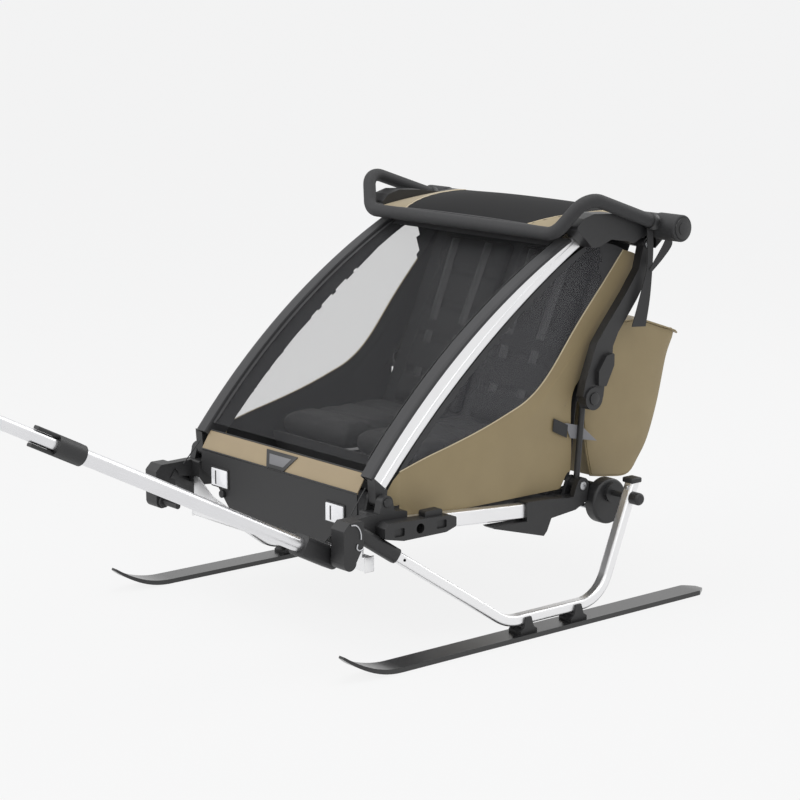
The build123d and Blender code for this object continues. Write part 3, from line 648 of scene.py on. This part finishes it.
for side, word in SIDES:
    piece = cloth_grid("side_window_cloth_" + word, 60, 28, window_place(side), 0.62, 0.2)
    piece.data.materials.append(side_film)
    piece.data.materials.append(dark_cloth)
    for face in piece.data.polygons:
        centre = face.center * 1000
        y, z = centre.y - PIVOT_Y * 1000, centre.z
        edge = min(math.dist((y, z), point) for point in band_points)
        if edge < OPAQUE_BAND or y > OPAQUE_FROM_Y:
            face.material_index = 1
    stretched(piece)
    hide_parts("side_window_" + word)
    settle(piece)
    points = [at(side * (SIDE_X + 1.4), *seam_line(i / 60)) for i in range(61)]
    piping = tube("side_piping_" + word, points, 0.0013, tan_piping)
    settle(piping)

# %% [markdown]
# The front window is one sheet between the two pillars. It is pulled tight along them and sinks a little
# between them, and it has an opaque black border on all its sides.

# %% Front window
FRONT_HALF = 262.6
BORDER_X = 252
BORDER_TOP = 756
BORDER_LOW = 366


def front_place(u, v):
    """Carries the front window's grid to its place."""
    share = 0.035 + 0.94 * v
    sink = 4.0 * math.sin(math.pi * u) * math.sin(math.pi * v)
    return at(FRONT_HALF * (2 * u - 1), *pillar_line(share, front_offset(share) - 6 - sink))


front = cloth_grid("front_window_cloth", 70, 72, front_place, 0.526, 0.66)
front.data.materials.append(window_mesh)
front.data.materials.append(dark_cloth)
for face in front.data.polygons:
    x = abs(face.center.x) * 1000
    z = face.center.z * 1000
    if x > BORDER_X or z > BORDER_TOP or z < BORDER_LOW:
        face.material_index = 1
stretched(front)
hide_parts("front_window")
belongs(front, "window_mesh", "upper_frame")
for side, word in SIDES:
    shares = [i / 60 for i in range(3, 58)]
    points = [at(side * BORDER_X, *pillar_line(share, front_offset(share) - 4.8)) for share in shares]
    line = tube("front_piping_" + word, points, 0.0011, webbing)
    belongs(line, "dark_fabric", "upper_frame")

# %% [markdown]
# The window's border is a sleeve of black cloth. It is wrapped over the front of each pillar and down its
# inner side, so only the outer side of the aluminium shows.

# %% Sleeves of the pillars
def sleeve_place(side):
    """Function that carries a sleeve's grid round a pillar."""
    def place(u, v):
        share = -0.004 + 0.974 * v
        face = front_offset(share)
        inner = [(263.2, -13), (263.2, face - 2), (264.2, face + 0.9)]
        outer = [(290, face + 0.9), (295.6, face - 1.2), (296.9, face - 6)]
        x, out = line_through(inner + outer, False)(u)
        return at(side * x, *pillar_line(share, out))
    return place


for side, word in SIDES:
    sleeve = cloth_grid("pillar_cloth_" + word, 30, 60, sleeve_place(side), 0.086, 0.68)
    sleeve.data.materials.append(dark_cloth)
    stretched(sleeve, 0.0012)
    belongs(sleeve, "dark_fabric", "upper_frame")

# %% [markdown]
# Under the front window a sloping strip of tan cloth is padded with thin foam and turned over at its edges.
# Its edges are piped, and a blank dark patch is sewn to its middle.

# %% Front strip
STRIP_HALF = 263.2


def strip_place(u, v):
    """Carries the strip's grid to its place."""
    x = STRIP_HALF * (2 * u - 1)
    puff = 2.2 * (1 - (2 * v - 1) ** 4) * (1 - (2 * u - 1) ** 12)
    y = -28 + 24 * v
    z = 315 + 38 * v
    return at(x, y - puff * 0.85 + 0.6, z + puff * 0.5)


strip = cloth_grid("front_strip_cloth", 60, 10, strip_place, 0.527, 0.046)
# The strip's cloth is the sides' tan painted lighter, as painted light on the front.
strip.data.materials.append(strip_cloth_painted_light)
stretched(strip, 0.0022)
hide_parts("front_strip")
belongs(strip, "tan_fabric", "chassis")
for name, v in (("strip_top_piping", 1.0), ("strip_low_piping", 0.02)):
    points = [strip_place(i / 40, v) + Vector((0, -0.001, 0.0006)) for i in range(41)]
    line = tube(name, points, 0.0016, webbing)
    belongs(line, "dark_fabric", "chassis")
patch_place = set_at(at(0, -20.2, 333.5), (1, 0, 0), (0, 24, 38))
base = plate("strip_patch", [(-53, 18), (-29, -18), (29, -18), (53, 18)], 1.6, patch_place, nylon)
blank = [(-37, 10), (-23, -11), (23, -11), (37, 10)]
middle = plate("strip_patch_middle", blank, 2.2, patch_place, patch_grey)
for piece in (base, middle):
    belongs(piece, "black_plastic", "chassis")

# %% [markdown]
# Below the strip hangs a stiff black sheet, with two white reflectors in dark rims. Each lens is one moulded
# block with a thin upright slit, drawn as a dark bar. A knob holds the sheet at its lower edge.

# %% Reflectors on the black sheet
REFLECTOR_X = 196
for side, word in SIDES:
    x = side * REFLECTOR_X
    lens = rounded_box("reflector_" + word, (x - 28, -32.5, 246), (x + 28, -28.2, 283), 2, reflector)
    slit = rounded_box("reflector_slit_" + word, (x - 13, -33.2, 250), (x - 9, -31.8, 279), 0.6, nylon)
    rim = rounded_box("reflector_rim_" + word, (x - 31, -30.3, 243), (x + 31, -28.1, 286), 1, nylon)
    belongs(lens, "black_panel", "chassis")
    belongs(slit, "black_plastic", "chassis")
    belongs(rim, "black_plastic", "chassis")
knob = ring_on("sheet_knob", at(-186, -31.5, 232), (0, 1, 0), 0.008, 0.007, nylon)
belongs(knob, "black_plastic", "chassis")
print("two reflectors and", knob.name)

# %% [markdown]
# The roof is a shallow shell of cloth over a stiffener, crowned both ways, with a dark middle and a tan
# swoosh along each side. Its front edge is a turned hem in front of the top of the window.

# %% Roof
ROOF_HALF = 285
ROOF_FRONT = 474
ROOF_DEPTH = 230


def swoosh(v):
    """Half width of the roof's dark middle, from its front to its rear."""
    return 196 + 62 * v + 10 * math.sin(3 * v)


def roof_place(u, v):
    """Carries the roof's grid to its place."""
    across = 1 - abs(2 * u - 1) ** 2.4
    along = math.sin(math.pi * min(1, 0.06 + v * 0.94)) ** 0.7
    z = 788.5 + 24 * v + (5 + 18 * across) * along
    return at(ROOF_HALF * (2 * u - 1), ROOF_FRONT + ROOF_DEPTH * v, z)


roof = cloth_grid("roof_cloth", 56, 30, roof_place, 0.57, 0.24)
roof.data.materials.append(roof_cloth)
roof.data.materials.append(tan_cloth)
for face in roof.data.polygons:
    v = (face.center.y * 1000 - PIVOT_Y * 1000 - ROOF_FRONT) / ROOF_DEPTH
    if abs(face.center.x) * 1000 > swoosh(v):
        face.material_index = 1
stretched(roof, 0.003)
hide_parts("roof")
belongs(roof, "dark_fabric", "upper_frame")
hem = tube("roof_hem", [roof_place(i / 40, 0) for i in range(41)], 0.0026, dark_cloth)
belongs(hem, "dark_fabric", "upper_frame")
for side, word in SIDES:
    points = []
    for i in range(31):
        across = 0.5 + side * swoosh(i / 30) / (2 * ROOF_HALF)
        points.append(roof_place(across, i / 30) + Vector((0, 0, 0.0014)))
    line = tube("roof_piping_" + word, points, 0.0013, tan_piping)
    belongs(line, "tan_fabric", "upper_frame")

# %% [markdown]
# A short header of black cloth joins the top of the front window to the roof's front edge.

# %% Header over the front window
HEADER_TOP = (476, 789)


def header_place(u, v):
    """Carries the header's grid from the window's top to the roof's hem."""
    low = pillar_line(0.972, front_offset(0.972) - 7)
    y = low[0] + (HEADER_TOP[0] - low[0]) * v - 3 * math.sin(math.pi * v)
    return at(FRONT_HALF * (2 * u - 1), y, low[1] + (HEADER_TOP[1] - low[1]) * v)


header = cloth_grid("roof_header", 20, 6, header_place, 0.526, 0.06)
header.data.materials.append(roof_cloth)
stretched(header)
belongs(header, "dark_fabric", "upper_frame")

# %% [markdown]
# Back of the cabin: a sheet of black cloth behind the seat, from the rear beam to the roof.

# %% Back of the cabin
BACK_HALF = 285.2
back_line = line_through([(521, 263), (531, 350), (540, 431), (560, 480), (620, 606), (686, 742), (700, 776),
                          (706, 807)])


def back_place(u, v):
    """Carries the back's grid to its place."""
    y, z = back_line(v)
    belly = 4 * math.sin(math.pi * u) * math.sin(math.pi * v)
    return at(BACK_HALF * (2 * u - 1), y - 5 + belly, z)


back = cloth_grid("back_cloth", 30, 36, back_place, 0.57, 0.59)
back.data.materials.append(dark_cloth)
stretched(back)
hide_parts("rear_panel")
settle(back)

# %% [markdown]
# Seats. Two children sit side by side, each on a padded seat with a back of sewn channels. Padding could be
# a block with round edges, but foam under cloth swells between its seams, so it is made with a cloth
# simulation: the closed shape is remeshed, filled with pressure for a few frames, and the result is applied.
# Sewn channels come after it, as grooves pressed into the finished mesh.

# %% Padding helper
FRAMES = 15
MOST_SWELL = 0.007
CHANNEL_HALF = 0.012
CHANNEL_DEPTH = 0.006


def inflate(made):
    """Swells a closed mesh with a cloth simulation under pressure, by a few millimetres at most."""
    start = [vertex.co.copy() for vertex in made.data.vertices]
    cloth = made.modifiers.new("Cloth", "CLOTH")
    cloth.settings.use_pressure = True
    cloth.settings.uniform_pressure_force = 4
    cloth.settings.effector_weights.gravity = 0
    scene = bpy.context.scene
    for number in range(1, FRAMES + 1):
        scene.frame_set(number)
    only(made)
    bpy.ops.object.modifier_apply(modifier=cloth.name)
    scene.frame_set(1)
    for vertex, place in zip(made.data.vertices, start):
        moved = vertex.co - place
        if moved.length > MOST_SWELL:
            vertex.co = place + moved.normalized() * MOST_SWELL


def pad(name, low, high, material, channels):
    """Padded block between two corners (x, along, out) in millimetres, before it is laid in place."""
    bpy.ops.object.select_all(action="DESELECT")
    bpy.ops.mesh.primitive_cube_add(size=1)
    made = bpy.context.object
    made.name = name
    size = [(high[k] - low[k]) / 1000 for k in range(3)]
    middle = [(high[k] + low[k]) / 2000 for k in range(3)]
    for vertex in made.data.vertices:
        vertex.co = Vector([middle[k] + vertex.co[k] * size[k] for k in range(3)])
    apply(made, "BEVEL", width=min(size) * 0.42, segments=4, limit_method="NONE")
    apply(made, "REMESH", mode="VOXEL", voxel_size=0.0075)
    inflate(made)
    for vertex in made.data.vertices:
        for channel in channels:
            far = abs(vertex.co.y - channel / 1000)
            if vertex.co.z > middle[2] and far < CHANNEL_HALF:
                vertex.co.z -= CHANNEL_DEPTH * (0.5 + 0.5 * math.cos(math.pi * far / CHANNEL_HALF))
    apply(made, "SUBSURF", levels=1, render_levels=1)
    made.data.materials.append(material)
    smooth(made, 180)
    print(made.name, "padding with", len(made.data.polygons), "faces")
    return made


def cube_uv(piece):
    """UV map in metres from the largest direction of each face, for the weave of a closed shape."""
    layer = piece.data.uv_layers.new() if not piece.data.uv_layers else piece.data.uv_layers[0]
    for face in piece.data.polygons:
        n = [abs(v) for v in face.normal]
        k = n.index(max(n))
        a, b = [i for i in range(3) if i != k]
        for loop in face.loop_indices:
            co = piece.data.vertices[piece.data.loops[loop].vertex_index].co
            layer.data[loop].uv = (co[a], co[b])


# %% [markdown]
# Each child has one cushion and one back. The back leans from the rear of the cushion up to the roof, so its
# pad is made flat and then laid on that slope. Two straps of webbing lie over each back, and they come
# nearer to each other towards the shoulders.

# %% Seats and seat backs
SEAT_LOW = at(0, 465, 345)
SEAT_TOP = at(0, 640, 742)
STRAPS = ((70, 12), (180, -12))
lie = set_at(SEAT_LOW, (1, 0, 0), SEAT_TOP - SEAT_LOW)
flat = set_at(at(0, 142, 352), (1, 0, 0), (0, 300, -4))
for side, word in SIDES:
    low, high = sorted((side * 12, side * 240))
    # Both pads take the seat cloth, whose extra darkness is painted shade.
    seat = pad("seat_pad_" + word, (low, 10, -22), (high, 300, 20), seat_cloth_painted_shade, (100, 200))
    seat.data.transform(flat)
    channels = (90, 170, 250, 330)
    rest = pad("seat_back_pad_" + word, (low, 14, -11), (high, 416, 11), seat_cloth_painted_shade, channels)
    rest.data.transform(lie)
    for piece, node in ((seat, "seat_cushion"), (rest, "seat_back")):
        cube_uv(piece)
        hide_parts(node)
    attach(seat, "chassis")
    settle(rest)
    for k, (x, lean) in enumerate(STRAPS):
        points = []
        for i in range(21):
            place = (side * (x + lean * i / 20) / 1000, (400 - 330 * i / 20) / 1000, 0.0195 - 0.004 * i / 20)
            points.append(lie @ Vector(place))
        strap = ribbon(f"harness_{word}_{k}", points, 0.026, 0.0016, (1, 0, 0), webbing)
        settle(strap)

# %% [markdown]
# Under the cushions the real seat is a sling of cloth. Little of it shows, so one sheet of lining is enough.

# %% Seat sling
def base_place(u, v):
    """Carries the sling's grid from the seats' rear, along the floor, up to their front."""
    y, z = line_through([(456, 300), (450, 250), (320, 244), (190, 246), (160, 290), (146, 336)])(v)
    return at(246 * (2 * u - 1), y, z)


sling = cloth_grid("seat_sling", 12, 30, base_place, 0.49, 0.45)
sling.data.materials.append(lining)
stretched(sling)
belongs(sling, "dark_fabric", "chassis")

# %% [markdown]
# The cargo bag hangs behind the cabin. It is a soft shell: a rounded outline seen from the side, carried
# across the trailer, fuller in the middle, with its two ends closed by rings of cloth that bulge.

# %% Cargo bag
BAG = [(590, 263), (640, 255), (698, 252), (730, 284), (757, 325), (784, 400), (808, 494), (829, 545),
       (800, 556), (723, 580), (660, 581), (612, 581), (597, 545), (574, 492), (566, 400), (574, 330)]
BAG_ENDS = [(276.5, 0.985), (277.6, 0.93), (278.6, 0.8), (279.4, 0.6), (279.8, 0.35), (280, 0.12)]
AROUND = 96
bag_line = line_through(BAG + [BAG[0]])


def bag_dots(rows):
    """Points of the bag's outline at each row across the trailer, a place and a scale."""
    centre = np.mean(np.array(BAG), axis=0)
    dots = []
    for x, scale in rows:
        sag = 3.0 * math.cos(math.pi * x / 560)
        for i in range(AROUND):
            p = bag_line(i / AROUND)
            y, z = centre + (p - centre) * scale
            low = max(0, (centre[1] - z) / 160)
            dots.append(at(x, y + sag * (0.6 if y > 700 else 0), z - sag * low * 0.5))
    return dots


def bag_shell():
    """Closed shell of the bag, whose ends close in rings."""
    stations = [(x, 1.0) for x in np.linspace(-270, 270, 37)]
    rows = [(-x, s) for x, s in reversed(BAG_ENDS)] + stations + BAG_ENDS
    faces = []
    for r in range(len(rows) - 1):
        for i in range(AROUND):
            j = (i + 1) % AROUND
            faces.append((r * AROUND + i, r * AROUND + j, (r + 1) * AROUND + j, (r + 1) * AROUND + i))
    last = len(rows) - 1
    faces.append(tuple(range(AROUND - 1, -1, -1)))
    faces.append(tuple(last * AROUND + i for i in range(AROUND)))
    mesh = bpy.data.meshes.new("bag_shell")
    mesh.from_pydata(bag_dots(rows), [], faces)
    made = bpy.data.objects.new("bag_shell", mesh)
    bpy.context.scene.collection.objects.link(made)
    only(made)
    bpy.ops.object.mode_set(mode="EDIT")
    bpy.ops.mesh.select_all(action="SELECT")
    bpy.ops.mesh.normals_make_consistent(inside=False)
    bpy.ops.object.mode_set(mode="OBJECT")
    made.data.materials.append(tan_cloth)
    smooth(made, 60)
    cube_uv(made)
    return made


bag = bag_shell()
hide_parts("cargo_bag")
settle(bag)
for side, word in SIDES:
    points = [at(side * 273, *bag_line(i / AROUND)) for i in range(AROUND)]
    ring = tube("bag_piping_" + word, points, 0.0022, tan_cloth, True)
    settle(ring)
print("bag with", len(bag.data.polygons), "faces")

# %% [markdown]
# A flap with a turned lip closes the bag. Its two ends droop a few millimetres over the piping.

# %% Bag flap
def lid_place(u, v):
    """Carries the flap's grid over the bag."""
    y, z = line_through([(612.5, 585.5), (660, 588), (723, 586), (790, 566), (833, 551), (837, 546)])(v)
    droop = 5 * abs(2 * u - 1) ** 10
    return at(280 * (2 * u - 1), y, z - droop)


lid = cloth_grid("bag_flap", 50, 24, lid_place, 0.56, 0.245)
lid.data.materials.append(tan_cloth)
stretched(lid, 0.003)
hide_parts("bag_lid")
settle(lid)

# %% [markdown]
# Webbing. A wrist strap hangs in a loop from the left hub of the push bar. Its two legs are broad and
# change their width, so each is a small grid between two edge lines, with a slight curl across it.

# %% Wrist strap
def strap_piece(name, one, other, x, curl):
    """Broad strap between two edge lines of the side view."""
    left, right = line_through(one), line_through(other)

    def place(u, v):
        y, z = (1 - u) * left(v) + u * right(v)
        return at(x + curl * math.sin(math.pi * v) * (2 * u - 1), y, z)

    piece = cloth_grid(name, 6, 30, place, 0.03, 0.2)
    piece.data.materials.append(webbing)
    apply(piece, "SOLIDIFY", thickness=0.0016, offset=0)
    smooth(piece, 50)
    belongs(piece, "black_webbing", "upper_frame")
    print(piece.name, "strap")
    return piece


front_one = [(669, 786), (672, 745), (672, 702), (652, 640), (631, 584)]
front_other = [(687, 780), (688, 740), (686, 700), (681, 640), (671, 581)]
rear_one = [(722, 757), (712, 742), (696, 722), (677, 700)]
rear_other = [(742, 760), (740, 743), (714, 718), (685, 695)]
front_leg = strap_piece("wrist_strap_front", front_one, front_other, 346.5, 1.2)
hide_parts("wrist_strap")
strap_piece("wrist_strap_rear", rear_one, rear_other, 348.6, 0.6)

# %% [markdown]
# A sewn patch and a grey strap end hold the cabin's rear corner to the folding upright, and a small tan
# gore closes the side in front of the seam. They are flat, so they are plates a little over a millimetre
# thick, laid on the cloth.

# %% Corner patches and gores
PATCH = [(457, 379), (497, 360), (500, 387), (460, 406)]
TAIL = [(492, 392), (507, 358), (584, 342), (539, 380)]
GORE = [(20, 287), (56, 287), (56, 353), (38, 338), (21, 316)]
for side, word in SIDES:
    facing = set_at(at(side * 296.6, 0, 0), (0, 1, 0), (0, 0, 1))
    flush = set_at(at(side * SIDE_X, 0, 0), (0, 1, 0), (0, 0, 1))
    sewn = plate("corner_patch_" + word, PATCH, 1.4, facing, webbing, 0.0004)
    gore = plate("front_gore_" + word, GORE, 1.4, flush, tan_cloth, 0.0004)
    tail = plate("corner_strap_" + word, TAIL, 1.2, facing, grey_strap, 0.0004)
    for piece, slot in ((gore, "tan_fabric"), (sewn, "black_webbing"), (tail, "black_webbing")):
        settle(piece)
print("patches, strap ends and gores on both sides")

# %% [markdown]
# The push bar's foam is one piece in the model. Its arms have a collar where the foam ends, and a thin seam
# shows where two lengths of foam meet.

# %% Push bar trim
ARM_RISE = math.radians(19)
arm = Vector((0, -math.cos(ARM_RISE), math.sin(ARM_RISE)))
for side, word in SIDES:
    collar = ring_on("bar_collar_" + word, at(side * 350, 679, 799.1), arm, 0.0175, 0.014, nylon)
    belongs(collar, "black_plastic", "push_bar")
seam_ring = ring_on("foam_seam", at(-92, 456, 784), (1, 0, 0), 0.01435, 0.0012, nylon)
belongs(seam_ring, "black_foam", "push_bar")
print("collars and", seam_ring.name)

# %% [markdown]
# Every pivot ends in a cap, plastic over the moulded joints and steel over the pins. All are round discs, so
# one table lists them: how far out, where in the side view, how large, and which body they turn with.

# %% Caps on the joints
KNEE = (537, 443)
BAR_HUB = joint_at("push_bar_turn")
CAPS = [
    ("hub_cap_", 402.6, BAR_HUB, 0.0225, 0.003, nylon_smooth, "black_plastic", "push_bar"),
    ("hub_button_", 404.6, BAR_HUB, 0.0135, 0.003, nylon, "black_plastic", "push_bar"),
    ("pivot_cap_", 323.2, joint_at("fold"), 0.0095, 0.003, nylon_smooth, "black_plastic", "chassis"),
    ("lower_joint_cap_", 325.2, joint_at("upright_lower_turn"), 0.009, 0.003, steel, "satin_aluminium",
     "chassis"),
    ("knee_cap_", 337.2, KNEE, 0.013, 0.003, nylon_smooth, "black_plastic", "uprights_upper"),
    ("top_pivot_cap_", 333.4, joint_at("upright_upper_turn"), 0.01, 0.002, steel, "satin_aluminium",
     "upper_frame"),
]
for side, word in SIDES:
    for name, x, (y, z), radius, thickness, material, slot, body in CAPS:
        cap = ring_on(name + word, at(side * x, y, z), (1, 0, 0), radius, thickness, material)
        belongs(cap, slot, body)
print("caps", 2 * len(CAPS))

# %% [markdown]
# Small hardware on the base: a rivet and a plastic cap on each rear leg, wire clips on the tow clamps, end
# caps on the crossbar, and a cord that laces the front corner. Each is placed on the solid that carries it.

# %% Small hardware
LEG_X = 395
BAILS = ([(-104, 281), (-92, 279), (-84, 271), (-80, 260), (-80, 250)],
         [(-74, 231), (-84, 229), (-90, 234), (-88, 242)])
for side, word in SIDES:
    x = side * LEG_X
    rivet = ring_on("leg_rivet_" + word, at(x, 575.5, 262), (0, -0.93, 0.37), 0.005, 0.003, steel)
    belongs(rivet, "satin_aluminium", "chassis")
    cap = rounded_box("leg_cap_" + word, (x - 15, 577, 270), (x + 15, 606, 281), 3, nylon)
    belongs(cap, "black_plastic", "chassis")
    for k, bail in enumerate(BAILS):
        bent = line_through(bail)
        points = [at(side * 341.4, *bent(i / 16)) for i in range(17)]
        clip = tube(f"wire_clip_{word}_{k}", points, 0.0016, steel)
        belongs(clip, "satin_aluminium", "chassis")
    low, high = (side * 292.2, -35, 165), (side * 295.5, -11, 197)
    end = rounded_box("crossbar_cap_" + word, low, high, 1.2, satin_aluminium)
    belongs(end, "satin_aluminium", "chassis")
    points = [at(side * (280 + 0.13 * i), -20 - i, 330 - 1.15 * i) for i in range(0, 41, 4)]
    lace = tube("corner_cord_" + word, points, 0.0012, webbing)
    belongs(lace, "black_webbing", "chassis")
print("rivets, caps, wire clips and cords on both sides")

# %% [markdown]
# Between the hubs a thin steel rod joins the two brake housings, with the brake's cable slung beside it.

# %% Brake rod and cable
rod = tube("brake_rod", [at(x, 556, 204) for x in (-318, 0, 318)], 0.003, steel)
belongs(rod, "satin_aluminium", "chassis")
slung = line_through([(-316, 566, 212), (-200, 548, 196), (0, 540, 192), (200, 548, 196), (316, 566, 212)])
wire = tube("brake_cable", [at(*slung(i / 40)) for i in range(41)], 0.0022, nylon)
belongs(wire, "black_plastic", "chassis")
print(rod.name, "and", wire.name)

# %% [markdown]
# A dark sheet behind the two backs closes the slits beside and between them, and an elastic loop on each
# side holds the bag's flap.

# %% Seat screen and the flap's loops
screen_line = line_through([(478, 352), (500, 396), (650, 736)])


def screen_place(u, v):
    """Carries the screen's grid to its place behind the seat backs."""
    return at(284 * (2 * u - 1), *screen_line(v))


screen = cloth_grid("seat_screen", 16, 20, screen_place, 0.568, 0.43)
screen.data.materials.append(lining)
stretched(screen)
settle(screen)
for side, word in SIDES:
    bow = [(150, 600, 584), (150, 604, 596), (120, 612, 601), (90, 604, 596), (90, 600, 584)]
    hold = line_through([(side * x, y, z) for x, y, z in bow])
    loop = tube("flap_loop_" + word, [at(*hold(i / 24)) for i in range(25)], 0.0018, webbing)
    settle(loop)
